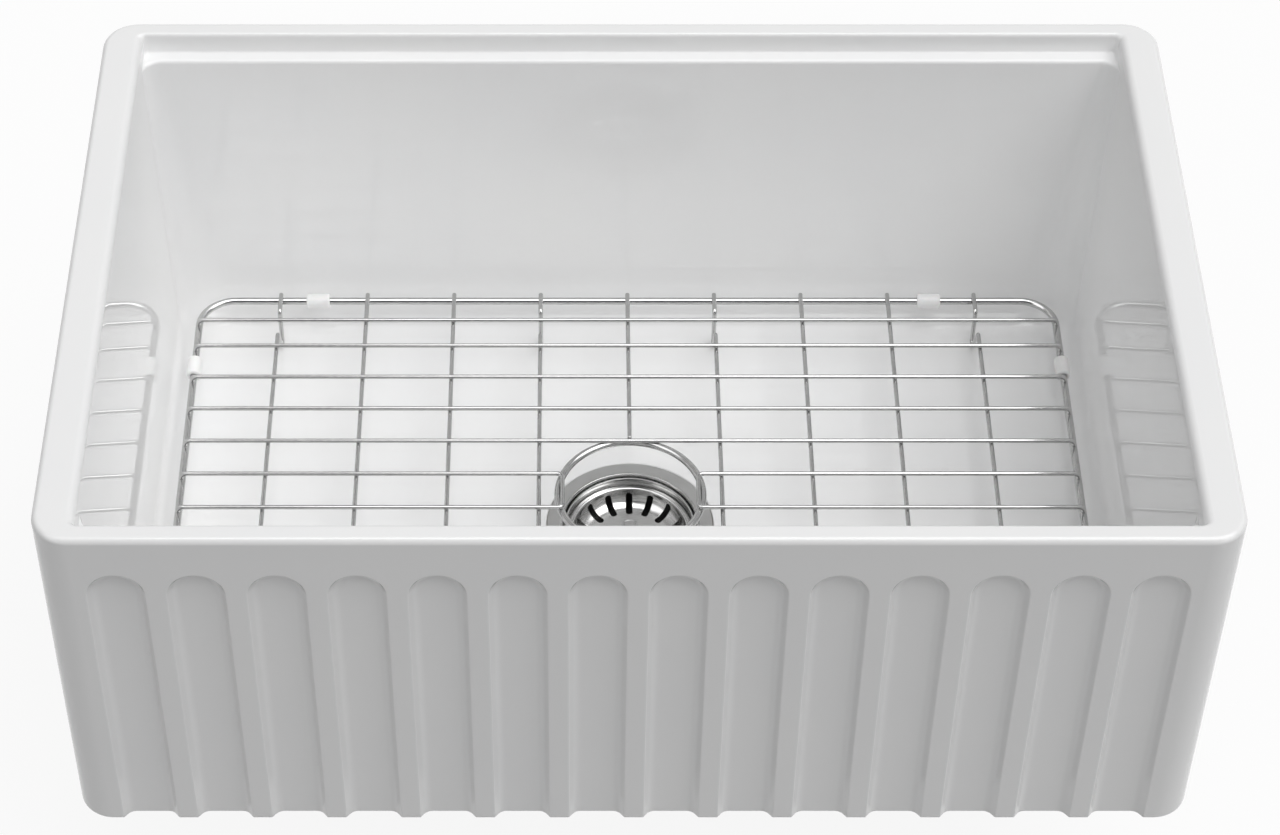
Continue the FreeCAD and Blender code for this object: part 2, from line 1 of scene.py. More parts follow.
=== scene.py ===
import math
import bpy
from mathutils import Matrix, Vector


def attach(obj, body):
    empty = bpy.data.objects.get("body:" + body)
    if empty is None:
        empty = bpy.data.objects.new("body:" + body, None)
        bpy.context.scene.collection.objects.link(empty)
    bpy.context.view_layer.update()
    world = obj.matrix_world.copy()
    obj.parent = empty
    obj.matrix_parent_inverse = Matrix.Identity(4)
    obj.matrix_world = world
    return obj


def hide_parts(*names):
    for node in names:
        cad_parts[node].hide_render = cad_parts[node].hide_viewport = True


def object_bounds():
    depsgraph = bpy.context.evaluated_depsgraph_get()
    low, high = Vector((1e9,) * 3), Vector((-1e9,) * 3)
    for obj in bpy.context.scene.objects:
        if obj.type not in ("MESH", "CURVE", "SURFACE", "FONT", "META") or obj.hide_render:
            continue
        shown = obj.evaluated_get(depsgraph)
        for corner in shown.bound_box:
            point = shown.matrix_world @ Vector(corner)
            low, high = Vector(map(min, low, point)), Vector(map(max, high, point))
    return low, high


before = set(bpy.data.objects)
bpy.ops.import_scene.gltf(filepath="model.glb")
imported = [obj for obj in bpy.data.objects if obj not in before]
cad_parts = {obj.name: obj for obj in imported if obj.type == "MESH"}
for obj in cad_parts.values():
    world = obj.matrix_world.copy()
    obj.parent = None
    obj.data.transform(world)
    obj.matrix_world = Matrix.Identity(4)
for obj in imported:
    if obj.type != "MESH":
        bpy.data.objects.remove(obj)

from types import SimpleNamespace

import bmesh
import bpy
from mathutils import Vector

cad_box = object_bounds()

# ---------------------------------------------------------------- the basin
# One casting of fireclay, dipped in white glaze and fired: thick walls, an accessory ledge along
# the front and back, and an apron with fourteen round-topped flutes that run out at the bottom.
# It stands on its flat underside, which is wiped clean of glaze before firing.
MM = 0.001
basin_half_x, basin_half_y, basin_height = 343.0, 229.0, 256.0
outer_corner, rim_round, base_round = 22.0, 4.0, 2.5
mouth_x, mouth_y, riser_y = 318.5, 206.5, 216.0
side_lean, end_lean, floor_z, ledge_z = 9.5, 3.5, 20.0, 241.5
mouth_corner, floor_corner, floor_round, riser_corner = 10.0, 34.0, 26.0, 3.0
side_lip, end_lip, ledge_nose, ledge_foot = 5.0, 2.5, 2.6, 1.8
flute_count, rib_flat, flute_edge_margin, flute_depth, flute_wall = 14, 12.0, 28.4, 5.7, 4.0
flute_lip_round, flute_foot_round, flute_top_z, flute_base_round = 1.3, 6.0, 226.5, 1.1
recess_radius, recess_z, recess_round, drain_hole = 55.2, 17.8, 1.2, 44.5
under_recess, under_depth = 75.0, 6.0
round_steps, foot_steps, recess_steps, floor_steps, head_steps = 6, 5, 4, 10, 28
outer_steps, inner_steps, straight_steps = (8, 12, 12), (10, 16, 16), 6
bowl_levels = (225.0, 190.0, 150.0, 110.0, 75.0, 50.0)


def ease(value):
    value = max(0.0, min(1.0, value))
    return value * value * (3 - 2 * value)


def quarter_turns(steps):
    return [math.pi / 2 * step / steps for step in range(steps + 1)]


def roundings(steps):
    """Steps along a round edge, as shares of its radius: still to go one way, gone the other."""
    return [(1 - math.sin(turn), 1 - math.cos(turn)) for turn in quarter_turns(steps)]


def quarter(half_x, half_y, radius, steps, side_end=None, straight_steps=0):
    """A quarter of a rounded rectangle, from the middle of its side to the middle of its back:
    points, and the directions they face. With side_end, the side's even points stop there and a
    straight piece leads on to the arc."""
    side, corner, back = steps
    top = half_y - radius if side_end is None else side_end
    points = [(half_x, top * k / side, 1.0, 0.0) for k in range(side)]
    for k in range(straight_steps):
        points.append((half_x, top + (half_y - radius - top) * k / straight_steps, 1.0, 0.0))
    for turn in quarter_turns(corner - straight_steps):
        c, s = math.cos(turn), math.sin(turn)
        points.append((half_x - radius + radius * c, half_y - radius + radius * s, c, s))
    for k in range(1, back + 1):
        points.append(((half_x - radius) * (1 - k / back), half_y, 0.0, 1.0))
    return points


def all_round(points):
    """The closed ring that a quarter makes when it is mirrored to the other three quarters."""
    ring = list(points)
    ring += [(-x, y, -u, v, *rest) for x, y, u, v, *rest in reversed(points[:-1])]
    ring += [(-x, -y, -u, -v, *rest) for x, y, u, v, *rest in points[1:]]
    ring += [(x, -y, u, -v, *rest) for x, y, u, v, *rest in reversed(points[1:-1])]
    return ring


def new_verts(piece, points):
    return [piece.verts.new((x * MM, y * MM, z * MM)) for x, y, z in points]


def add_rows(piece, rows, closed=True, skip=None):
    """Quads between successive rows of points, in millimetres."""
    grid = [new_verts(piece, row) for row in rows]
    count = len(rows[0])
    for low, high in zip(grid, grid[1:]):
        for k in range(count if closed else count - 1):
            if skip and skip(k):
                continue
            n = (k + 1) % count
            piece.faces.new((low[k], low[n], high[n], high[k]))


def flute_profile():
    """Across one wall of a flute, from the rib inwards: (place, depth, outward x, outward y).
    The lip and the foot of the wall are arcs, as glaze leaves them."""
    lip_steps, wall_foot_steps, rib_run, flute_run = 5, 7, 0.5, 0.6
    lean = math.atan2(flute_depth, flute_wall)
    reach_lip = flute_lip_round * math.tan(lean / 2)
    reach_foot = flute_foot_round * math.tan(lean / 2)
    points = [(-reach_lip - rib_run, 0.0, 0.0)]
    for step in range(lip_steps + 1):
        turn = lean * step / lip_steps
        points.append((-reach_lip + flute_lip_round * math.sin(turn),
                       flute_lip_round * (1 - math.cos(turn)), turn))
    for step in range(wall_foot_steps + 1):
        turn = lean * (1 - step / wall_foot_steps)
        points.append((flute_wall + reach_foot - flute_foot_round * math.sin(turn),
                       flute_depth - flute_foot_round * (1 - math.cos(turn)), turn))
    points.append((flute_wall + reach_foot + flute_run, flute_depth, 0.0))
    return [(place, depth, math.sin(turn), math.cos(turn)) for place, depth, turn in points]


flute_width = (2 * (basin_half_x - flute_edge_margin) - (flute_count - 1) * rib_flat) / flute_count
flute_pitch = flute_width + rib_flat
flute_half = flute_width / 2
arc_z = flute_top_z - flute_half
profile = flute_profile()
flute_middles = [flute_pitch * (k - (flute_count - 1) / 2) for k in range(flute_count)]
clay = bmesh.new()

# The apron's columns, left to right: (x, depth, how the surface faces across and forwards)
front_y = -basin_half_y
apron_left, apron_right = -basin_half_x + outer_corner, basin_half_x - outer_corner
columns = [(apron_left, 0.0, 0.0, 1.0)]
for middle in flute_middles:
    columns += [(middle - flute_half + s, d, u, v) for s, d, u, v in profile]
    columns += [(middle + flute_half - s, d, -u, v) for s, d, u, v in reversed(profile)]
columns.append((apron_right, 0.0, 0.0, 1.0))
wall_rows = [4.0, 30.0, 75.0, 120.0, 165.0, arc_z]
upper_rows = [arc_z, 230.0, basin_height - rim_round]


def base_round_at(depth):
    return base_round + (flute_base_round - base_round) * depth / flute_depth


add_rows(clay, [[(x, front_y + d, base_round_at(d)) for x, d, u, v in columns]]
         + [[(x, front_y + d, z) for x, d, u, v in columns] for z in wall_rows], closed=False)


def head_arc(middle, radius):
    """Places across and up, round the head of a flute."""
    turns = [math.pi * k / head_steps for k in range(head_steps + 1)]
    return [(middle - radius * math.cos(t), arc_z + radius * math.sin(t)) for t in turns]


# Round heads of the flutes, and the flat field over them as one face
field = [(apron_left, z) for z in reversed(upper_rows)]
for middle in flute_middles:
    heads = [[(x, front_y + d, z) for x, z in head_arc(middle, flute_half - s)]
             for s, d, u, v in profile]
    add_rows(clay, heads, closed=False)
    clay.faces.new(new_verts(clay, heads[-1]))
    field += head_arc(middle, flute_half - profile[0][0])
field += [(apron_right, z) for z in upper_rows]
outer = all_round(quarter(basin_half_x, basin_half_y, outer_corner, outer_steps))
front_places = [x for x, y, u, v in outer if v == -1.0]
field += [(x, basin_height - rim_round) for x in reversed(front_places[1:-1])]
clay.faces.new(new_verts(clay, [(x, front_y, z) for x, z in field]))

# Plain walls on the other three sides, then the rim's outer edge
first_front = next(k for k, p in enumerate(outer) if p[3] == -1.0 and p[0] < 0)
last_front = max(k for k, p in enumerate(outer) if p[3] == -1.0)
add_rows(clay, [[(x, y, z) for x, y, u, v in outer]
                for z in [base_round] + wall_rows + upper_rows[1:]],
         skip=lambda k: first_front <= k < last_front)
rim_rows = []
for turn in quarter_turns(round_steps):
    inset = rim_round * (1 - math.cos(turn))
    ring = all_round(quarter(basin_half_x - inset, basin_half_y - inset, outer_corner - inset,
                             outer_steps))
    rim_rows.append([(x, y, basin_height - rim_round + rim_round * math.sin(turn))
                     for x, y, u, v in ring])
add_rows(clay, rim_rows)


# Rim, riser, ledge and bowl, as one run of rings. Down to the ledge, a ring's side stops where
# the bowl's corner starts, so that the ledge can run out on the side wall.
def lean_at(z, lean):
    return lean * (basin_height - z) / (basin_height - floor_z)


def bowl_corner_at(z):
    return mouth_corner + (floor_corner - mouth_corner) * (
        (basin_height - z) / (basin_height - floor_z))


def upper_ring(z):
    side_end = mouth_y - lean_at(ledge_z, end_lean) - bowl_corner_at(ledge_z)
    return quarter(mouth_x - lean_at(z, side_lean), riser_y, riser_corner, inner_steps, side_end,
                   straight_steps)


def bowl_ring(z):
    return quarter(mouth_x - lean_at(z, side_lean), mouth_y - lean_at(z, end_lean),
                   bowl_corner_at(z), inner_steps)


rows = []
for to_go, gone in roundings(round_steps):
    row = []
    for x, y, u, v in upper_ring(basin_height):
        lip_round = side_lip + (end_lip - side_lip) * ease(abs(v))
        grow = lip_round * to_go
        z = basin_height - lip_round * gone
        lean = lean_at(z, side_lean) * (abs(u) > 0.5)
        row.append((x + u * grow - lean, y + v * grow, u, v, z))
    rows.append(row)
for to_go, gone in roundings(foot_steps):
    row = []
    for k, (x, y, u, v) in enumerate(upper_ring(ledge_z)):
        foot = ledge_foot * ease((k - inner_steps[0]) / straight_steps)
        inset = foot * gone
        row.append((x - u * inset, y - v * inset, u, v, ledge_z + foot * to_go))
    rows.append(row)
nose_starts = math.radians(40)
for to_go, gone in roundings(round_steps):
    row = []
    for x, y, u, v in bowl_ring(ledge_z):
        nose = ledge_nose * ease(math.atan2(v, u) / nose_starts) if v > 0 else 0.0
        grow = nose * to_go
        row.append((x + u * grow, y + v * grow, u, v, ledge_z - nose * gone))
    rows.append(row)
for z in bowl_levels:
    rows.append([(*point, z) for point in bowl_ring(z)])

# The round between a leaning wall and the floor, which meets both of them smoothly
high, low = bowl_ring(basin_height), bowl_ring(floor_z)
drop = basin_height - floor_z
for step in range(floor_steps + 1):
    row = []
    for (x1, y1, u1, v1), (x0, y0, u, v) in zip(high, low):
        outward = (x1 - x0) * u + (y1 - y0) * v
        tilt = math.atan2(outward, drop)
        turn = (math.pi / 2 - tilt) * step / floor_steps
        reach = floor_round * math.tan((math.pi / 2 - tilt) / 2)
        up = reach * math.cos(tilt) - floor_round * (math.sin(turn + tilt) - math.sin(tilt))
        inward = floor_round * (math.cos(tilt) - math.cos(turn + tilt)) - reach * math.sin(tilt)
        slide = up / drop
        slip_x = (x1 - x0) - outward * u
        slip_y = (y1 - y0) - outward * v
        row.append((x0 - u * inward + slip_x * slide, y0 - v * inward + slip_y * slide, u, v,
                    floor_z + up))
    rows.append(row)
rings = [[(x, y, z) for x, y, u, v, z in all_round(row)] for row in rows]
add_rows(clay, rings)


def join_flat(piece, outer_ring, inner_ring, z):
    """A flat face with a hole in it, from one ring of points in to the other."""
    edges = []
    for ring in (outer_ring, inner_ring):
        verts = new_verts(piece, [(x, y, z) for x, y, *rest in ring])
        edges += [piece.edges.new((a, b)) for a, b in zip(verts, verts[1:] + verts[:1])]
    bmesh.ops.triangle_fill(piece, use_beauty=True, edges=edges, normal=(0, 0, 1))


join_flat(clay, rim_rows[-1], rings[0], basin_height)


def circle(radius, z, turns):
    return [(radius * math.cos(t), radius * math.sin(t), z) for t in turns]


def circle_within(ring, radius, z):
    """One point on a circle for each point of a ring round it, in order and never together: the
    flutes make the ring's own angles go to and fro, so the circle's are sorted and spread."""
    spread = 0.05
    first = math.atan2(ring[0][1], ring[0][0])
    turns = sorted((math.atan2(y, x) - first) % math.tau for x, y, *rest in ring)
    return circle(radius, z, [first + (1 - spread) * turn + spread * math.tau * k / len(ring)
                              for k, turn in enumerate(turns)])


# Floor of the bowl in to the recess that the strainer's flange sits in
floor_edge = rings[-1]
floor_rows = [floor_edge]
recess_lip = circle_within(floor_edge, recess_radius + recess_round, floor_z)
for share in (0.06, 0.3, 0.6, 0.85, 1.0):
    floor_rows.append([(a[0] + (b[0] - a[0]) * share, a[1] + (b[1] - a[1]) * share, floor_z)
                       for a, b in zip(floor_edge, recess_lip)])
for to_go, gone in roundings(recess_steps)[1:]:
    floor_rows.append(circle_within(floor_edge, recess_radius + recess_round * to_go,
                                    floor_z - recess_round * gone))
floor_rows.append(circle_within(floor_edge, recess_radius, recess_z))
add_rows(clay, floor_rows)


# Underneath: rounded base edge that follows the flutes, flat foot, recess and drain hole
def from_apron_left(point):
    """How far a point of the base, on its left, is from the apron's first column."""
    x, y, u, v, r = point
    return abs(x - apron_left) + abs(y - front_y) if u < 0 else math.inf


base = [(x, y, u, v, base_round) for x, y, u, v in outer if v > -1.0]
start = base.index(min(base, key=from_apron_left))
base = base[start + 1:] + base[:start + 1]
base_ring = base + [(x, front_y + d, u, -v, base_round_at(d)) for x, d, u, v in columns]
under_rows = [[(x - u * r * gone, y - v * r * gone, r * to_go) for x, y, u, v, r in base_ring]
              for to_go, gone in roundings(foot_steps)]
under_edge = under_rows[-1]
for share in (0.1, 0.6):
    under_rows.append([(a[0] * (1 - share) + b[0] * share, a[1] * (1 - share) + b[1] * share, 0.0)
                       for a, b in zip(under_edge, circle_within(under_edge, under_recess, 0.0))])
for radius, z in ((under_recess, 0.0), (under_recess, under_depth), (drain_hole, under_depth),
                  (drain_hole, recess_z)):
    under_rows.append(circle_within(under_edge, radius, z))
add_rows(clay, under_rows)
join_flat(clay, floor_rows[-1], under_rows[-1], recess_z)


def cleaned(piece):
    """Joins a piece's seams, turns its faces outwards and shades them smooth."""
    same_place, no_length = 1e-6, 1e-7
    bmesh.ops.remove_doubles(piece, verts=piece.verts, dist=same_place)
    bmesh.ops.dissolve_degenerate(piece, edges=piece.edges, dist=no_length)
    bmesh.ops.recalc_face_normals(piece, faces=piece.faces)
    for face in piece.faces:
        face.smooth = True
    return piece


def add_node(tree, kind, sockets=(), **settings):
    """A node with its settings, and for each socket a value or the output that feeds it."""
    made = tree.nodes.new(kind)
    for setting, value in settings.items():
        setattr(made, setting, value)
    for socket, value in dict(sockets).items():
        if isinstance(value, bpy.types.NodeSocket):
            tree.links.new(value, made.inputs[socket])
        else:
            made.inputs[socket].default_value = value
    return made


def calculated(tree, operation, *operands, kind="ShaderNodeMath"):
    """What a Math node, or another kind that calculates, makes of its operands."""
    return add_node(tree, kind, dict(enumerate(operands)), operation=operation).outputs["Value"]


def mixed(tree, factor, first, second):
    """One colour blended into another."""
    return add_node(tree, "ShaderNodeMix", {"Factor": factor, "A": first, "B": second},
                    data_type="RGBA").outputs["Result"]


def shader_start(name, fixed=()):
    """A new material with the shader's fixed values, and a mapping of the object's own place."""
    material = bpy.data.materials.new(name)
    material.use_nodes = True
    tree = material.node_tree
    shader = tree.nodes["Principled BSDF"]
    for socket, value in dict(fixed).items():
        shader.inputs[socket].default_value = value
    place = add_node(tree, "ShaderNodeTexCoord")
    mapping = add_node(tree, "ShaderNodeMapping", {"Vector": place.outputs["Object"]})
    return SimpleNamespace(material=material, tree=tree, shader=shader,
                           place=mapping.outputs["Vector"])


def noise(look, scale, detail=3.0, roughness=0.5):
    return add_node(look.tree, "ShaderNodeTexNoise", {
        "Vector": look.place, "Scale": scale, "Detail": detail, "Roughness": roughness,
    }).outputs["Fac"]


def ramp(tree, source, stops):
    """Turns a pattern into greys or colours, by stops of (place, grey or colour)."""
    made = add_node(tree, "ShaderNodeValToRGB", {"Fac": source})
    elements = made.color_ramp.elements
    while len(elements) < len(stops):
        elements.new(1.0)
    for element, (place, value) in zip(elements, stops):
        element.position = place
        element.color = (value, value, value, 1) if isinstance(value, float) else (*value, 1)
    return made.outputs["Color"]


def drift(look, pattern, low, high):
    return ramp(look.tree, pattern, ((0.3, low), (0.7, high)))


def set_drift(look, socket, pattern, low, high):
    """Lets a pattern move one of the shader's own sockets from one value to another."""
    look.tree.links.new(drift(look, pattern, low, high), look.shader.inputs[socket])


def bump(look, height, depth, strength, under=None):
    """Fine relief from a pattern, over another relief where one is given."""
    made = add_node(look.tree, "ShaderNodeBump",
                    {"Strength": strength, "Distance": depth, "Height": height})
    if under:
        look.tree.links.new(under.outputs["Normal"], made.inputs["Normal"])
    look.tree.links.new(made.outputs["Normal"], look.shader.inputs["Normal"])
    return made


# Glaze: white, mirror-like, with the faint waves and orange peel of a fired coat
glaze = shader_start("white fireclay glaze", {"IOR": 1.52})
set_drift(glaze, "Base Color", noise(glaze, 9.0, 2.0), (0.955, 0.957, 0.96), (0.97, 0.97, 0.968))
set_drift(glaze, "Roughness", noise(glaze, 40.0, 4.0), 0.02, 0.045)
waves = bump(glaze, noise(glaze, 14.0, 1.0), 0.0001, 0.5)
bump(glaze, noise(glaze, 420.0, 2.0), 0.00002, 0.5, waves)

# Bare clay of the underside: chalky, with fine grog and firing marks
bare_clay = shader_start("bare fireclay", {"Roughness": 0.85})
grog = noise(bare_clay, 700.0, 4.0, 0.7)
stain = noise(bare_clay, 12.0, 4.0)
blend = mixed(bare_clay.tree, 0.35,
              drift(bare_clay, stain, (0.62, 0.60, 0.56), (0.72, 0.705, 0.67)),
              drift(bare_clay, grog, (0.50, 0.47, 0.42), (0.76, 0.75, 0.72)))
bare_clay.tree.links.new(blend, bare_clay.shader.inputs["Base Color"])
bump(bare_clay, grog, 0.0003, 0.6)

hair = 0.1               # millimetres past a level or radius, to catch the faces that lie on it
for face in cleaned(clay).faces:
    centre = face.calc_center_median()
    below = face.normal.z < -0.95 and centre.z < hair * MM
    recess = (centre.z < (recess_z + hair) * MM
              and math.hypot(centre.x, centre.y) < (under_recess + 2 * hair) * MM)
    face.material_index = 1 if below or recess else 0


def new_object(name, data):
    made = bpy.data.objects.new(name, data)
    bpy.context.scene.collection.objects.link(made)
    return made


def grown(start_mesh, modifiers, tree_values=()):
    """The plain mesh that modifiers, each a kind and its settings, make of a start mesh."""
    carrier = new_object("carrier", start_mesh)
    for kind, settings in modifiers:
        modifier = carrier.modifiers.new(kind.lower(), kind)
        for setting, value in settings.items():
            setattr(modifier, setting, value)
        if kind == "NODES":
            for socket, value in dict(tree_values).items():
                modifier[socket] = value
    bpy.context.view_layer.update()
    evaluated = carrier.evaluated_get(bpy.context.evaluated_depsgraph_get())
    result = bpy.data.meshes.new_from_object(evaluated)
    bpy.data.objects.remove(carrier)
    return result


def placed(name, mesh, body, node):
    """Puts a mesh on its body in the place of a CAD node."""
    mesh.name = name
    piece = new_object(name, mesh)
    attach(piece, body)
    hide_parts(node)


def finished(name, piece, looks, body, node):
    """Evens the shading of a built piece, and places it with its materials."""
    mesh = bpy.data.meshes.new(name + " start")
    piece.to_mesh(mesh)
    piece.free()
    for look in looks:
        mesh.materials.append(look.material)
    mesh.set_sharp_from_angle(angle=math.radians(42))
    even = {"mode": "FACE_AREA_WITH_ANGLE", "weight": 100, "keep_sharp": True}
    placed(name, grown(mesh, [("WEIGHTED_NORMAL", even)]), body, node)


finished("glazed_basin", clay, [glaze, bare_clay], "sink", "sink_basin")

# ---------------------------------------------------------------- the strainer
# A deep-drawn stainless cup that hangs in the drain hole by its flange. It has a bead round its
# mouth, two stepped bands, a seat for the basket, and a thread rolled into its outside.
thread_turns, thread_start, thread_pitch, thread_crest, thread_root = 11, -21.5, 2.0, 42.0, 41.3
thread_rows = []
for turn_number in range(thread_turns):
    thread_z = thread_start + thread_pitch * turn_number
    thread_rows += [(thread_crest, thread_z, 0.0), (thread_crest, thread_z + 0.5, 0.25),
                    (thread_root, thread_z + 1.0, 0.25), (thread_crest, thread_z + 1.5, 0.25)]
strainer_outline = [
    (54.5, 18.8, 0.2), (54.5, 20.3, 0.45), (46.3, 20.3, 0.3), (45.45, 20.98, 0.45),
    (44.6, 20.95, 0.4), (44.1, 20.0, 0.3), (43.3, 16.6, 0.3), (42.2, 16.2, 0.35),
    (41.45, 12.3, 0.25), (39.4, 12.3, 0.4), (39.4, -29.7, 6.0), (20.9, -29.7, 1.2),
    (19.6, -31.3, 0.6), (19.6, -49.7, 0.3), (23.8, -49.7, 0.5), (23.8, -31.9, 1.0),
    (42.0, -31.9, 8.2), *thread_rows, (42.0, 2.0, 0.0), (42.0, 18.8, 0.2),
]
flange_inside, flange_underside = 46.2, 18.5


def softened(outline, segments=4):
    """A closed outline with its corners rounded, from (across, along, rounding) points."""
    nearly_straight, most_of_a_side = 1.5, 0.48
    points = []
    for k, (across, along, rounding) in enumerate(outline):
        corner = Vector((across, along))
        back = Vector(outline[k - 1][:2]) - corner
        onward = Vector(outline[(k + 1) % len(outline)][:2]) - corner
        opening = back.angle(onward, math.pi) / 2
        if rounding == 0.0 or opening > nearly_straight:
            points.append((across, along))
            continue
        reach = min(rounding / math.tan(opening), most_of_a_side * back.length,
                    most_of_a_side * onward.length)
        rounding = reach * math.tan(opening)
        inwards = (back.normalized() + onward.normalized()).normalized()
        centre = corner + inwards * (rounding / math.sin(opening))
        first = corner + back.normalized() * reach - centre
        last = corner + onward.normalized() * reach - centre
        for step in range(segments + 1):
            spoke = first.lerp(last, step / segments).normalized() * rounding
            points.append(tuple(centre + spoke))
    return points


def closed_rows(rows):
    """A closed piece from rings of points, the last one joined on to the first."""
    piece = bmesh.new()
    add_rows(piece, rows + rows[:1])
    return cleaned(piece)


def even_turns(count):
    return [2 * math.pi * k / count for k in range(count)]


def spun(outline, steps=96):
    """A turned piece round the drain's axis, its outline's corners rounded."""
    return closed_rows([circle(r, z, even_turns(steps)) for r, z in softened(outline)])


def lathe_marks(look, scale):
    """Fine rings round the axis, as turning and polishing on a spindle leave them."""
    split = add_node(look.tree, "ShaderNodeSeparateXYZ", {"Vector": look.place})
    flat = add_node(look.tree, "ShaderNodeCombineXYZ",
                    {"X": split.outputs["X"], "Y": split.outputs["Y"]})
    reach = calculated(look.tree, "LENGTH", flat.outputs["Vector"], kind="ShaderNodeVectorMath")
    along = calculated(look.tree, "ADD", reach, split.outputs["Z"])
    return add_node(look.tree, "ShaderNodeTexNoise", {
        "W": along, "Scale": scale, "Detail": 5.0, "Roughness": 0.65,
    }, noise_dimensions="1D").outputs["Fac"]


metal = {"Metallic": 1.0}


def spun_steel(name, colours, roughness, mark_depth):
    """Stainless steel with rings from the spindle, and a little water haze."""
    steel = shader_start(name, metal)
    marks = lathe_marks(steel, 1400.0)
    set_drift(steel, "Base Color", noise(steel, 55.0, 4.0, 0.6), *colours)
    set_drift(steel, "Roughness", marks, *roughness)
    bump(steel, marks, mark_depth, 0.5)
    return steel


flange_steel = spun_steel("satin flange steel", ((0.50, 0.50, 0.495), (0.54, 0.54, 0.535)),
                          (0.30, 0.42), 0.00003)
throat_steel = spun_steel("bright throat steel", ((0.56, 0.56, 0.555), (0.63, 0.63, 0.625)),
                          (0.12, 0.2), 0.00001)
strainer = spun(strainer_outline, 128)
for face in strainer.faces:
    centre = face.calc_center_median()
    on_flange = (math.hypot(centre.x, centre.y) > flange_inside * MM
                 and centre.z > flange_underside * MM)
    face.material_index = 0 if on_flange else 1
finished("drain_strainer", strainer, [flange_steel, throat_steel], "sink", "strainer_body")


# ---------------------------------------------------------------- the strainer's seals
# A thin grey foam rubber seal under the flange, and under the floor a thick rubber gasket and a
# fibre ring that lets the lock nut turn without dragging the rubber round.
def clouded(name, cloud, colours, roughness, relief=None, fixed=()):
    """A material whose colour and roughness drift with one noise. Its relief, where it has one, is
    (another noise, depth, strength)."""
    look = shader_start(name, fixed)
    pattern = noise(look, *cloud)
    set_drift(look, "Base Color", pattern, *colours)
    set_drift(look, "Roughness", pattern, *roughness)
    if relief:
        grain, depth, strength = relief
        bump(look, noise(look, *grain), depth, strength)
    return look


def rubber(name, shade, grain, depth):
    """Moulded rubber: dull, slightly dusty, with a fine pebble from the mould."""
    return clouded(name, (90.0, 5.0, 0.6),
                   ((shade, shade, shade), (shade * 1.9, shade * 1.9, shade * 1.85)),
                   (0.5, 0.68), ((grain, 3.0, 0.6), depth, 0.6))


finished("flange_gasket", spun([(54.0, 17.8, 0.25), (54.0, 18.8, 0.25), (42.65, 18.8, 0.25),
                                (42.65, 17.8, 0.25)]),
         [rubber("grey foam rubber", 0.055, 1500.0, 0.00015)], "sink", "flange_seal")
finished("floor_gasket", spun([(58.0, 3.0, 0.7), (58.0, 6.0, 0.7), (42.15, 6.0, 0.4),
                               (42.15, 3.0, 0.4)]),
         [rubber("black gasket rubber", 0.018, 1100.0, 0.00012)], "sink", "drain_gasket")

pressed_fibre = shader_start("pressed fibre", {"Roughness": 0.8})
felt = noise(pressed_fibre, 900.0, 6.0, 0.75)
set_drift(pressed_fibre, "Base Color", felt, (0.20, 0.13, 0.085), (0.36, 0.26, 0.18))
bump(pressed_fibre, felt, 0.00015, 0.7)
finished("sliding_ring", spun([(57.0, 2.0, 0.15), (57.0, 3.0, 0.15), (42.15, 3.0, 0.15),
                               (42.15, 2.0, 0.15)]),
         [pressed_fibre], "sink", "friction_ring")


# ---------------------------------------------------------------- the lock nut
# A die-cast zinc ring nut on the strainer's thread, with six lugs round it for the wrench. It
# pulls the flange down on its seal.
def lugged(radius, reach, width, count, lug_round, root_round, arc_steps):
    """Outline of a round nut with square lugs."""
    outline = []
    half = math.asin(width / 2 / radius)
    gap = 2 * math.pi / count - 2 * half
    for k in range(count):
        middle = 2 * math.pi * k / count
        c, s = math.cos(middle), math.sin(middle)
        root, tip = radius * math.cos(half), radius + reach
        for along, across, rounding in (
            (root, -width / 2, root_round), (tip, -width / 2, lug_round),
            (tip, width / 2, lug_round), (root, width / 2, root_round),
        ):
            outline.append((along * c - across * s, along * s + across * c, rounding))
        outline += circle(radius, 0.0, [middle + half + gap * step / arc_steps
                                        for step in range(1, arc_steps)])
    return softened(outline, 3)


def shrunk(outline, by):
    """The same outline moved inwards."""
    moved = []
    for k, (x, y) in enumerate(outline):
        before, after = Vector(outline[k - 1]), Vector(outline[(k + 1) % len(outline)])
        run = (after - before).normalized()
        moved.append((x - run.y * by, y + run.x * by))
    return moved


def cast_nut(outline, low, high, edge, bore_rows):
    """A nut from its outline, with eased edges and a turned bore: (radius, height) from the top."""
    nut = bmesh.new()
    inner = shrunk(outline, edge)
    half_edge = edge * (1 - math.sqrt(0.5))
    between = shrunk(outline, half_edge)
    outside = [(inner, low), (between, low + half_edge), (outline, low + edge),
               (outline, high - edge), (between, high - half_edge), (inner, high)]
    add_rows(nut, [[(x, y, z) for x, y in ring] for ring, z in outside])
    bore = [circle(r, z, even_turns(96)) for r, z in bore_rows]
    add_rows(nut, bore)
    join_flat(nut, inner, bore[0], high)
    join_flat(nut, inner, bore[-1], low)
    return cleaned(nut)


cast_zinc = clouded("die-cast zinc", (160.0, 5.0, 0.65), ((0.36, 0.37, 0.38), (0.50, 0.51, 0.52)),
                    (0.38, 0.56), ((900.0, 3.0), 0.0001, 0.5), metal)
finished("strainer_lock_nut",
         cast_nut(lugged(55.0, 5.0, 11.0, 6, 1.5, 1.2, 14), -10.0, 2.0, 0.8,
                  [(42.9, 2.0), (42.15, 1.2), (42.15, -9.2), (42.9, -10.0)]),
         [cast_zinc], "sink", "lock_nut")

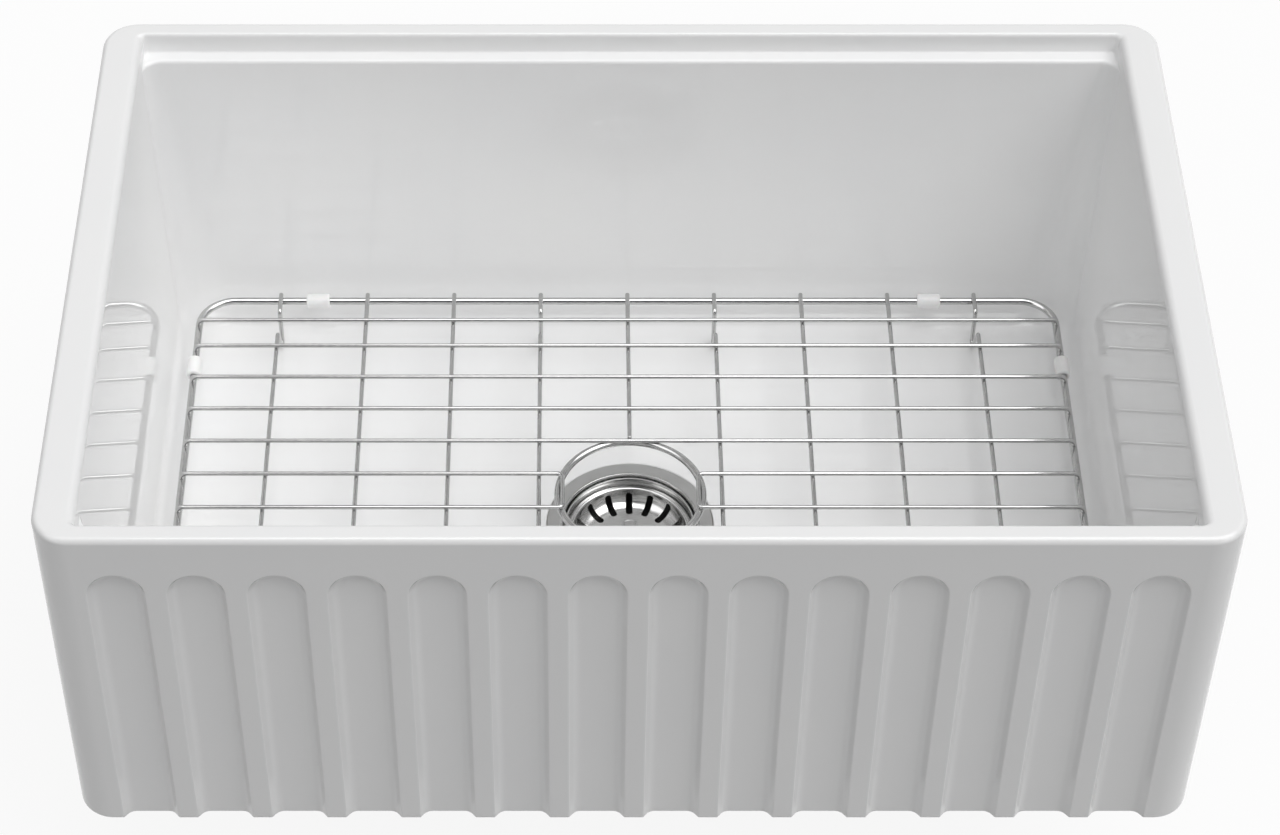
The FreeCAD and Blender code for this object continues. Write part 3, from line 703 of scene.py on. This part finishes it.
# ---------------------------------------------------------------- the tailpiece and its nut
# A thin chromed tube with a flange at its top and a bead rolled round it. The slip nut draws
# its flange up on a plastic washer against the strainer's neck.
washer_plastic = clouded("natural polythene", (120.0, 3.0),
                         ((0.70, 0.71, 0.70), (0.80, 0.81, 0.80)), (0.34, 0.46))
finished("neck_washer", spun([(22.6, -51.5, 0.3), (22.6, -49.7, 0.3), (19.6, -49.7, 0.3),
                              (19.6, -51.5, 0.3)]),
         [washer_plastic], "sink", "tailpiece_washer")


def chrome(name, roughness):
    """Bright plating with faint smears and fine rings from polishing."""
    plating = clouded(name, (45.0, 4.0, 0.6), ((0.66, 0.67, 0.69), (0.74, 0.75, 0.765)),
                      roughness, fixed=metal)
    bump(plating, lathe_marks(plating, 900.0), 0.00001, 0.4)
    return plating


finished("waste_tailpiece", spun([
    (19.05, -141.5, 0.4), (19.05, -91.6, 0.3), (19.75, -91.2, 0.5), (20.05, -90.5, 0.6),
    (19.75, -89.8, 0.5), (19.05, -89.4, 0.3), (19.05, -53.0, 0.5), (22.6, -53.0, 0.4),
    (22.6, -51.5, 0.4), (17.85, -51.5, 0.5), (17.85, -141.5, 0.4)]),
         [chrome("bright tube chrome", (0.05, 0.11))], "sink", "tailpiece")
finished("slip_nut",
         cast_nut(lugged(28.0, 1.6, 4.0, 12, 0.7, 0.5, 6), -56.0, -36.0, 0.7,
                  [(24.6, -36.0), (23.95, -36.7), (23.95, -52.9), (23.85, -53.0), (19.3, -53.0),
                   (19.2, -53.1), (19.2, -55.6), (19.6, -56.0)]),
         [chrome("satin nut chrome", (0.12, 0.2))], "sink", "coupling_nut")

# ---------------------------------------------------------------- the basket
# A cup pressed from thin stainless sheet: its rim is turned out over the strainer's seat, and
# sixteen slots run down its side into its flat floor.
slot_count, slot_width, slot_middle, slot_top = 16, 4.4, 27.2, 10.1
basket_wall, basket_floor, basket_reach, sheet = 38.6, 1.4, 28.6, 0.9


def basket_side():
    """Underside of the sheet, from the bush's hole out and up to the rim's edge: (radius, height).
    The side's curve passes the middle of the pressing's own arc."""
    side_steps, rim_turn, rim_foot, slot_steps = 14, 0.5, 12.1, 6
    low, middle, high = ((basket_reach, basket_floor), (basket_wall - 2.7, basket_floor + 3.36),
                         (basket_wall, 11.8))
    (ax, ay), (bx, by), (cx, cy) = low, middle, high
    d = 2 * (ax * (by - cy) + bx * (cy - ay) + cx * (ay - by))
    ux = ((ax * ax + ay * ay) * (by - cy) + (bx * bx + by * by) * (cy - ay)
          + (cx * cx + cy * cy) * (ay - by)) / d
    uy = ((ax * ax + ay * ay) * (cx - bx) + (bx * bx + by * by) * (ax - cx)
          + (cx * cx + cy * cy) * (bx - ax)) / d
    reach = math.hypot(ax - ux, ay - uy)
    start, end = math.atan2(ay - uy, ax - ux), math.atan2(cy - uy, cx - ux)
    turns = [start + (end - start) * k / side_steps for k in range(side_steps + 1)]
    arc = [(ux + reach * math.cos(t), uy + reach * math.sin(t)) for t in turns]
    first_round = slot_middle - slot_width / 2
    floor_part = [(r, basket_floor) for r in (5.2, 12.0, 20.0, first_round - 1.5)]
    floor_part += [(slot_middle - slot_width / 2 * math.cos(t), basket_floor)
                   for t in quarter_turns(slot_steps)]
    floor_part = [point for point in floor_part if point[0] < basket_reach - 0.05]
    rim = [(basket_wall + rim_turn * (1 - math.cos(t)), rim_foot + rim_turn * math.sin(t))
           for t in quarter_turns(4)]
    return floor_part + arc + rim + [(40.4, rim_foot + rim_turn)]


def slot_half(r, z):
    """Half the slot's width at a place on the pressing, nought outside it."""
    if r < slot_middle:
        inside = (slot_width / 2) ** 2 - (slot_middle - r) ** 2
        return math.sqrt(max(0.0, inside))
    inside = (slot_width / 2) ** 2 - max(0.0, z - (slot_top - slot_width / 2)) ** 2
    return math.sqrt(max(0.0, inside)) if z < slot_top else 0.0


# One slot and half the metal on each side of it, which is then turned round the axis
side_line = []
for r, z in basket_side():
    side_line.append((r, z))
    if len(side_line) > 1 and side_line[-2][1] < slot_top <= z:
        r0, z0 = side_line[-2]
        share = (slot_top - z0) / (z - z0)
        side_line.insert(-1, (r0 + (r - r0) * share, slot_top))
sector = bmesh.new()
half_sector = math.pi / slot_count
across_metal = (0.0, 0.12, 0.4, 0.7, 1.0)
left, right = [], []
for r, z in side_line:
    opening = math.asin(min(1.0, slot_half(r, z) / r))
    for side, rows in ((1, left), (-1, right)):
        turns = [side * (opening + (half_sector - opening) * share) for share in across_metal]
        rows.append(new_verts(sector, circle(r, z, turns)))
for rows, flip in ((left, True), (right, False)):
    for low, high in zip(rows, rows[1:]):
        for k in range(len(across_metal) - 1):
            corners = (low[k], low[k + 1], high[k + 1], high[k])
            sector.faces.new(corners[::-1] if flip else corners)
bmesh.ops.remove_doubles(sector, verts=sector.verts, dist=1e-6)
for face in sector.faces:
    face.smooth = True
if min(sector.faces, key=lambda face: face.calc_center_median().z).normal.z > 0:
    bmesh.ops.reverse_faces(sector, faces=sector.faces)
sector_mesh = bpy.data.meshes.new("basket sector")
sector.to_mesh(sector_mesh)
sector.free()


def new_tree(name, sockets):
    """A Geometry Nodes tree that takes a mesh and named sizes, and gives a mesh."""
    tree = bpy.data.node_groups.new(name, "GeometryNodeTree")
    tree.interface.new_socket("Mesh", in_out="INPUT", socket_type="NodeSocketGeometry")
    named = {label: tree.interface.new_socket(label, in_out="INPUT", socket_type=kind).identifier
             for label, kind in sockets}
    tree.interface.new_socket("Mesh", in_out="OUTPUT", socket_type="NodeSocketGeometry")
    return tree, named, tree.nodes.new("NodeGroupInput").outputs


def end_tree(tree, made, look):
    """Realize Instances and Set Material, as every tree here ends."""
    real = add_node(tree, "GeometryNodeRealizeInstances", {"Geometry": made})
    paint = add_node(tree, "GeometryNodeSetMaterial",
                     {"Geometry": real.outputs["Geometry"], "Material": look.material})
    add_node(tree, "NodeGroupOutput", {"Mesh": paint.outputs["Geometry"]})


round_tree, named, given = new_tree("sectors in a ring", [("Sectors", "NodeSocketInt")])
spokes = add_node(round_tree, "GeometryNodeMeshLine",
                  {"Count": given["Sectors"], "Offset": (0, 0, 0)})
number = add_node(round_tree, "GeometryNodeInputIndex").outputs["Index"]
one_turn = calculated(round_tree, "DIVIDE", 2 * math.pi, given["Sectors"])
about = add_node(round_tree, "ShaderNodeCombineXYZ",
                 {"Z": calculated(round_tree, "MULTIPLY", one_turn, number)})
sectors = add_node(round_tree, "GeometryNodeInstanceOnPoints", {
    "Points": spokes.outputs["Mesh"], "Instance": given["Mesh"],
    "Rotation": about.outputs["Vector"]})
joined = add_node(round_tree, "GeometryNodeRealizeInstances",
                  {"Geometry": sectors.outputs["Instances"]})
merged = add_node(round_tree, "GeometryNodeMergeByDistance",
                  {"Geometry": joined.outputs["Geometry"], "Distance": 0.000002})
end_tree(round_tree, merged.outputs["Geometry"], spun_steel(
    "bright basket steel", ((0.56, 0.56, 0.555), (0.62, 0.62, 0.615)), (0.16, 0.28), 0.00002))
basket_mesh = grown(sector_mesh, [
    ("NODES", {"node_group": round_tree}),
    ("SOLIDIFY", {"thickness": sheet * MM, "offset": -1.0, "use_even_offset": True}),
    ("BEVEL", {"width": 0.00018, "segments": 2, "limit_method": "ANGLE",
               "angle_limit": math.radians(50)}),
    ("WEIGHTED_NORMAL", {"keep_sharp": True}),
], {named["Sectors"]: slot_count})
placed("slotted_basket", basket_mesh, "basket", "basket_cup")

bush_nylon = clouded("black nylon", (200.0, 2.0),
                     ((0.022, 0.022, 0.023), (0.038, 0.038, 0.038)), (0.3, 0.42))
finished("rod_bush", spun([
    (8.5, 2.3, 0.2), (8.5, 3.7, 0.5), (3.3, 3.7, 0.4), (3.3, -3.6, 0.3), (5.1, -3.6, 0.4),
    (5.1, 2.3, 0.2)], 64), [bush_nylon], "basket", "basket_bush")

# ---------------------------------------------------------------- the stopper
# A turned steel knob on a rod that slides in the bush. Under the basket the rod carries a
# rubber disc, a washer and a nut; pushed down, the disc closes the strainer's outlet.
knob_steel = spun_steel("polished knob steel", ((0.50, 0.50, 0.495), (0.56, 0.56, 0.555)),
                        (0.14, 0.24), 0.00002)
finished("stopper_grip", spun([
    (0.0, 4.3, 0.0), (5.3, 4.3, 0.5), (5.3, 19.3, 1.0), (4.1, 19.3, 0.1), (3.95, 19.05, 0.1),
    (3.65, 19.05, 0.1), (3.5, 19.3, 0.1), (0.0, 19.3, 0.0)], 64),
         [knob_steel], "stopper", "stopper_knob")
rod_steel = spun_steel("drawn rod steel", ((0.50, 0.50, 0.50), (0.56, 0.56, 0.56)), (0.2, 0.3),
                       0.00002)
finished("stopper_stem", spun([
    (0.0, -36.4, 0.0), (3.0, -36.4, 0.5), (3.0, 4.3, 0.1), (0.0, 4.3, 0.0)], 48),
         [rod_steel], "stopper", "stopper_rod")
finished("outlet_disc", spun([
    (3.0, -29.4, 0.0), (27.5, -29.4, 1.0), (27.5, -27.4, 0.6), (15.0, -25.9, 1.5),
    (9.0, -25.9, 0.8), (7.5, -20.9, 0.6), (3.0, -20.9, 0.2)]),
         [rubber("black stopper rubber", 0.016, 1300.0, 0.00008)], "stopper", "stopper_disc")
plain_steel = spun_steel("plain washer steel", ((0.48, 0.48, 0.475), (0.56, 0.56, 0.55)),
                         (0.26, 0.36), 0.00002)
finished("disc_washer", spun([
    (3.0, -30.4, 0.1), (7.0, -30.4, 0.3), (7.0, -29.4, 0.2), (3.0, -29.4, 0.1)], 48),
         [plain_steel], "stopper", "stopper_washer")
nut_corner, corner_round = 5.7735, 0.35
hexagon = softened(circle(nut_corner, corner_round, [math.radians(60 * k) for k in range(6)]), 2)
finished("disc_nut", cast_nut(hexagon, -35.4, -30.4, 0.4, [
    (3.3, -30.4), (3.0, -30.7), (3.0, -35.1), (3.3, -35.4)]),
         [plain_steel], "stopper", "stopper_nut")

# ---------------------------------------------------------------- the bottom grid
# A welded tray of bright stainless wire that keeps dishes off the glaze. Four thick wires, welded
# end to end, go round its edge and another round the drain; thinner ones are spot-welded across.
thick_wire, thin_wire = 2.5, 1.5
frame_x, frame_y, frame_corner, frame_level, frame_joint = 295.025, 185.977, 24.0, 45.6, 147.478
ring_round, ring_level, long_level, cross_level = 47.5, 48.5, 49.5, 52.4
long_tip, long_inner_tip, long_pitch, hook_end, hook_bend = 188.977, 49.9, 60.006, 48.0, 3.0
foot_level, leg_inset, foot_length, foot_reach, foot_bend = 21.8, 18.0, 5.2, 22.0, 2.6
cross_places, turned_y, turned_x = (159.977, 134.977, 104.985, 74.992, 45.0), 15.0, 44.5
back_and_front, left_and_right = ((1, "back"), (-1, "front")), ((-1, "left"), (1, "right"))
in_x, in_y = (-1, 1), (1, -1)

drawn_wire = clouded("drawn stainless wire", (260.0, 4.0, 0.6),
                     ((0.50, 0.50, 0.50), (0.57, 0.57, 0.565)), (0.09, 0.16),
                     ((1500.0, 3.0), 0.00001, 0.5), metal)

wire_tree, named, given = new_tree("bent wire", [
    ("Wire radius", "NodeSocketFloat"), ("Bend radius", "NodeSocketFloat"),
    ("Steps in a bend", "NodeSocketInt"), ("Sides", "NodeSocketInt")])
line = add_node(wire_tree, "GeometryNodeMeshToCurve", {"Mesh": given["Mesh"]})
bends = add_node(wire_tree, "GeometryNodeFilletCurve", {
    "Curve": line.outputs["Curve"], "Radius": given["Bend radius"],
    "Count": given["Steps in a bend"]}, mode="POLY")
any_bend = add_node(wire_tree, "FunctionNodeCompare", {"A": given["Bend radius"], "B": 0.0},
                    operation="GREATER_THAN")
bent_or_not = add_node(wire_tree, "GeometryNodeSwitch", {
    "Switch": any_bend.outputs["Result"], "False": line.outputs["Curve"],
    "True": bends.outputs["Curve"]}, input_type="GEOMETRY")
section = add_node(wire_tree, "GeometryNodeCurvePrimitiveCircle",
                   {"Radius": given["Wire radius"], "Resolution": given["Sides"]})
drawn = add_node(wire_tree, "GeometryNodeCurveToMesh", {
    "Curve": bent_or_not.outputs["Output"], "Profile Curve": section.outputs["Curve"],
    "Fill Caps": True})
smooth = add_node(wire_tree, "GeometryNodeSetShadeSmooth", {"Geometry": drawn.outputs["Mesh"]})
end_tree(wire_tree, smooth.outputs["Geometry"], drawn_wire)


def wire(name, node, points, radius, bend, closed=False, bend_steps=7, sides=14, end_round=0.45):
    """One wire of the grid, from its corner points in millimetres."""
    path = bpy.data.meshes.new(name + " path")
    count = len(points)
    edges = [(k, (k + 1) % count) for k in range(count if closed else count - 1)]
    path.from_pydata([tuple(c * MM for c in point) for point in points], edges, [])
    steps = [("NODES", {"node_group": wire_tree})]
    if not closed:
        steps.append(("BEVEL", {"width": end_round * MM, "segments": 3, "limit_method": "ANGLE",
                                "angle_limit": math.radians(50)}))
    mesh = grown(path, steps, {
        named["Wire radius"]: radius * MM, named["Bend radius"]: bend * MM,
        named["Steps in a bend"]: bend_steps, named["Sides"]: sides})
    placed(name, mesh, "grid", node)


def mirrored(half, flip):
    """A wire's corner points, from those of its first half and the way the second half mirrors
    them."""
    return half + [(x * flip[0], y * flip[1], z) for x, y, z in reversed(half)]


for side, which in back_and_front:
    wire("tray_frame_" + which, "grid_frame_" + which,
         mirrored([(frame_x, side * frame_joint, frame_level),
                   (frame_x, side * frame_y, frame_level)], in_x),
         thick_wire, frame_corner, bend_steps=20, sides=18, end_round=0.12)
for side, which in left_and_right:
    wire("tray_side_" + which, "grid_frame_" + which,
         mirrored([(side * frame_x, -frame_joint, frame_level)], in_y),
         thick_wire, 0.0, sides=18, end_round=0.12)
wire("drain_ring", "grid_drain_ring",
     circle(ring_round, ring_level, [math.radians(3 * k) for k in range(120)]), thick_wire, 0.0,
     closed=True, sides=18)

# Front-to-back wires, the middle one in two halves; four of them dip to the floor as feet
for number in range(1, 10):
    x = (number - 5) * long_pitch
    node = "grid_long_wire_%d" % number
    if number == 5:
        for side, which in back_and_front:
            wire("middle_wire_" + which, node + "_" + which,
                 [(x, side * long_inner_tip, long_level), (x, side * long_tip, long_level)],
                 thin_wire, 0.0)
    elif number in (1, 4, 6, 9):
        leg = leg_inset - long_tip
        one_end = [(x, -long_tip, long_level), (x, leg, long_level), (x, leg, foot_level),
                   (x, leg + foot_length, foot_level), (x, leg + foot_reach, long_level)]
        wire("footed_wire_%d" % number, node, mirrored(one_end, in_y), thin_wire, foot_bend)
    else:
        wire("long_wire_%d" % number, node, mirrored([(x, -long_tip, long_level)], in_y),
             thin_wire, 0.0)

# Side-to-side wires on top of those, their ends hooked down on to the frame
for side, which in back_and_front:
    for order, y in enumerate(cross_places, 1):
        wire("cross_wire_%s_%d" % (which, order), "grid_cross_wire_%s_%d" % (which, order),
             mirrored([(-frame_x, side * y, hook_end), (-frame_x, side * y, cross_level)], in_x),
             thin_wire, hook_bend)
for side, which in left_and_right:
    near, far = side * turned_x, side * frame_x
    wire("turned_wire_" + which, "grid_turned_wire_" + which,
         mirrored([(far, -turned_y, hook_end), (far, -turned_y, cross_level),
                   (near, -turned_y, cross_level)], in_y), thin_wire, hook_bend)

# ---------------------------------------------------------------- the grid's bumpers
# Short white sleeves of soft plastic pushed on to the frame, two on each side of the tray, that
# keep the steel off the glaze. Those at the back were pushed on a little off the middle.
bumper_plastic = clouded("soft white plastic", (180.0, 3.0),
                         ((0.90, 0.90, 0.895), (0.94, 0.94, 0.935)), (0.34, 0.46),
                         ((1400.0, 2.0), 0.00003, 0.5),
                         {"Subsurface Weight": 0.05, "Subsurface Scale": 0.002})
end_sleeve_x, side_sleeve_y, back_drift = 211.5, 119.981, -2.8
sleeve_outline = softened([(2.6, -8.0, 0.4), (5.0, -8.0, 1.6), (5.0, 8.0, 1.6),
                           (2.6, 8.0, 0.4)], 5)
for side_y, depth_name, off in ((1, "back", back_drift), (-1, "front", 0.0)):
    for side_x, side_name in left_and_right:
        for along_x, x, y, word in ((True, side_x * end_sleeve_x + off, side_y * frame_y, ""),
                                    (False, side_x * frame_x, side_y * side_sleeve_y, "side_")):
            rows = [[(x + t, y + r * math.cos(a), frame_level + r * math.sin(a)) if along_x
                     else (x + r * math.cos(a), y + t, frame_level + r * math.sin(a))
                     for a in even_turns(32)] for r, t in sleeve_outline]
            name = "%s%s_%s" % (word, depth_name, side_name)
            finished("sleeve_" + name, closed_rows(rows), [bumper_plastic], "grid",
                     "bumper_" + name)

# ---------------------------------------------------------------- studio
# A pale floor under the sink, a wide soft light from above, a weak one from the right, and the
# camera. The floor is white paper to the eye and in mirrors, and greyer where it lights the sink.
floor_half, floor_drop, paper_white, paper_lighting = 12, 0.0005, 0.9, 0.27
floor_level = cad_box[0][2] - floor_drop
floor_mesh = bpy.data.meshes.new("studio_floor")
floor_mesh.from_pydata([(x * floor_half, y * floor_half, floor_level)
                        for x, y in ((-1, -1), (1, -1), (1, 1), (-1, 1))], [], [(0, 1, 2, 3)])
new_object("studio_floor", floor_mesh)
paper = shader_start("pale paper", {"Roughness": 0.9, "Specular IOR Level": 0.0})
rays = add_node(paper.tree, "ShaderNodeLightPath").outputs
seen = calculated(paper.tree, "MAXIMUM", rays["Is Camera Ray"], rays["Is Glossy Ray"])
seen = calculated(paper.tree, "MAXIMUM", seen, rays["Is Transmission Ray"])
shade = mixed(paper.tree, seen, (paper_lighting, paper_lighting, paper_lighting, 1),
              (paper_white, paper_white, paper_white, 1))
paper.tree.links.new(shade, paper.shader.inputs["Base Color"])
white = add_node(paper.tree, "ShaderNodeEmission", {"Color": (1, 1, 1, 1)})
mix = add_node(paper.tree, "ShaderNodeMixShader", {
    "Fac": calculated(paper.tree, "MULTIPLY", seen, paper_white),
    1: paper.shader.outputs["BSDF"], 2: white.outputs["Emission"]})
paper.tree.links.new(mix.outputs["Shader"], paper.tree.nodes["Material Output"].inputs["Surface"])
floor_mesh.materials.append(paper.material)

# The sky is a little brighter towards the front; metal and glaze mirror a room instead, with a
# bright ceiling, a grey back wall and the dark side where one stands
world = bpy.data.worlds.new("studio")
world.use_nodes = True
bpy.context.scene.world = world
tree = world.node_tree
facing = add_node(tree, "ShaderNodeTexCoord").outputs["Generated"]
height = add_node(tree, "ShaderNodeSeparateXYZ", {"Vector": facing}).outputs["Z"]
sky = ramp(tree, height, ((0.0, 0.04), (0.30, 0.05), (0.45, 0.62), (0.76, 0.62), (0.92, 0.12)))
towards_front, room_up = [
    calculated(tree, "DOT_PRODUCT", facing, direction, kind="ShaderNodeVectorMath")
    for direction in ((0.05, -0.42, 0.0), (0.0, -0.848, 0.530))]
sky_light = add_node(tree, "ShaderNodeVectorMath", {
    "Vector": sky, "Scale": calculated(tree, "ADD", towards_front, 1.0)}, operation="SCALE")
room = ramp(tree, room_up, ((0.0, 0.52), (0.34, 0.52), (0.44, 1.9), (0.76, 1.9), (0.86, 0.06)))
rays = add_node(tree, "ShaderNodeLightPath").outputs
tree.links.new(mixed(tree, rays["Is Glossy Ray"], sky_light.outputs["Vector"], room),
               tree.nodes["Background"].inputs["Color"])
tree.nodes["Background"].inputs["Strength"].default_value = 1.0

high_light = bpy.data.lights.new("high light", "SUN")
high_light.energy = 1.62
high_light.angle = math.radians(56)
right_light = bpy.data.lights.new("right light", "AREA")
right_light.shape = "RECTANGLE"
right_light.size, right_light.size_y = 0.5, 1.6
right_light.energy = 1.2
for light, place, aim in ((high_light, (0, 0, 0), (-0.36, 0.14, -1.0)),
                          (right_light, (2.4, -1.2, 0.9), (0.2, -0.1, 0.1))):
    lamp = new_object(light.name, light)
    lamp.location = place
    lamp.rotation_euler = (Vector(aim) - lamp.location).to_track_quat("-Z", "Y").to_euler()
    lamp.visible_camera = light is not right_light

# The camera that took the photo: its lens, and the pixel its level view would centre on
photo_width, photo_height, focal_pixels, centre_pixel = 1280.0, 835.0, 3203.3, (575.74, 560.0)
camera_height, look_down, film_width = 1.5828, 48.19, 36.0
camera_data = bpy.data.cameras.new("camera")
camera_data.sensor_width = film_width
camera_data.lens = focal_pixels / photo_width * film_width
camera_data.shift_x = (photo_width / 2 - centre_pixel[0]) / photo_width
camera_data.shift_y = (centre_pixel[1] - photo_height / 2) / photo_width
camera_data.clip_end = 50.0
camera = new_object("camera", camera_data)
camera.location = (-0.0358, -1.4299, camera_height)
camera.rotation_euler = (math.radians(90.0 - look_down), 0.0, 0.0)
bpy.context.scene.camera = camera
bpy.context.scene.view_settings.view_transform = "Standard"
